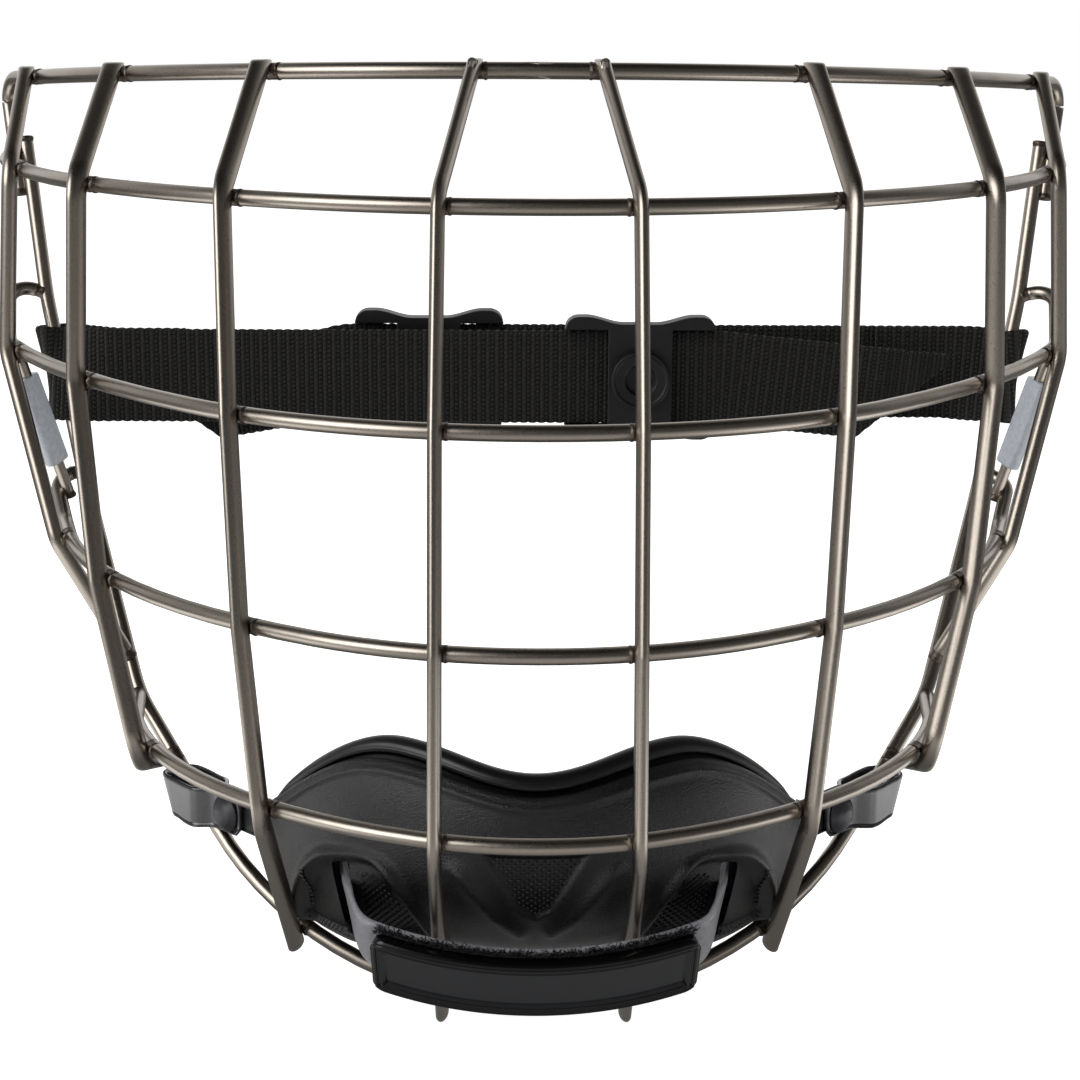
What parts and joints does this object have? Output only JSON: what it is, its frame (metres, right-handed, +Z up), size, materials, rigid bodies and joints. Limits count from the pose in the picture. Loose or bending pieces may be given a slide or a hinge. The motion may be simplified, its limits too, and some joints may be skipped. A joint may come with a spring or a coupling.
{
  "type": "hockey face mask",
  "caption": "Welded wire face cage for a hockey helmet, with a padded chin cup, a hook-and-loop chin strap and crossing side straps with press-stud sockets.",
  "frame": {"origin": "middle of the top rim wire, where the front clip of a helmet holds it", "axes": "+Z up, -Y the front that a viewer faces, +X to that viewer's right"},
  "size_m": [0.2282, 0.1406, 0.1829],
  "materials": {
    "titanium_wire": "satin, warm grey",
    "label_film": "satin film",
    "webbing": "matt ribbed weave",
    "moulded_plastic": "satin moulding",
    "spring_wire": "bright drawn wire",
    "shell_plastic": "fine speckled grain",
    "liner_foam": "matt closed-cell foam",
    "vinyl": "satin vinyl",
    "chin_webbing": "matt napped weave",
    "badge_rubber": "glossy moulded rubber"
  },
  "bodies": {
    "cage": {"top_rim": "titanium_wire", "lower_rim": "titanium_wire", "brow_bar": "titanium_wire", "eye_bar": "titanium_wire", "mouth_bar": "titanium_wire", "chin_bar": "titanium_wire", "upright_1": "titanium_wire", "upright_2": "titanium_wire", "upright_3": "titanium_wire", "upright_4": "titanium_wire", "upright_5": "titanium_wire", "upright_6": "titanium_wire", "upright_7": "titanium_wire", "upright_8": "titanium_wire", "side_stay_left": "titanium_wire", "side_stay_right": "titanium_wire", "label_left": "label_film", "label_right": "label_film", "side_tab_left": "vinyl", "side_tab_right": "vinyl", "tab_rivet_left": "moulded_plastic", "tab_rivet_right": "moulded_plastic", "chin_strap": "chin_webbing"},
    "chin_cup": {"cup_shell": "shell_plastic", "cup_liner": "liner_foam"},
    "badge_flap": {"hook_tape": "chin_webbing", "badge_plate": "badge_rubber"},
    "left_strap": {"strap_left": "webbing"},
    "right_strap": {"strap_right": "webbing"},
    "right_slider": {"slider_right": "moulded_plastic", "socket_right": "moulded_plastic", "stud_spring_right": "spring_wire"},
    "left_slider": {"slider_left": "moulded_plastic", "socket_left": "moulded_plastic", "stud_spring_left": "spring_wire"}
  },
  "joints": [
    {"name": "chin_cup_tilt", "type": "hinge", "parent": "cage", "child": "chin_cup", "pos_m": [0, 0.01749, -0.144], "axis": [1, 0, 0], "range_deg": [-2, 2]},
    {"name": "badge_peel", "type": "hinge", "parent": "cage", "child": "badge_flap", "pos_m": [-0.0284, -0.02479, -0.15533], "axis": [0, 0.5998, -0.8002], "range_deg": [0, 75]},
    {"name": "left_strap_swing", "type": "hinge", "parent": "cage", "child": "left_strap", "pos_m": [-0.10085, 0.07584, -0.0658], "axis": [0.2161, -0.2761, -0.9365], "range_deg": [0, 25]},
    {"name": "right_strap_swing", "type": "hinge", "parent": "cage", "child": "right_strap", "pos_m": [0.10085, 0.07584, -0.0658], "axis": [-0.2161, -0.2761, -0.9365], "range_deg": [0, 60]},
    {"name": "right_slider_slide", "type": "slide", "parent": "left_strap", "child": "right_slider", "axis": [-1, 0, 0], "range_m": [0, 0.04]},
    {"name": "left_slider_slide", "type": "slide", "parent": "right_strap", "child": "left_slider", "axis": [1, 0, 0], "range_m": [0, 0.04]}
  ]
}
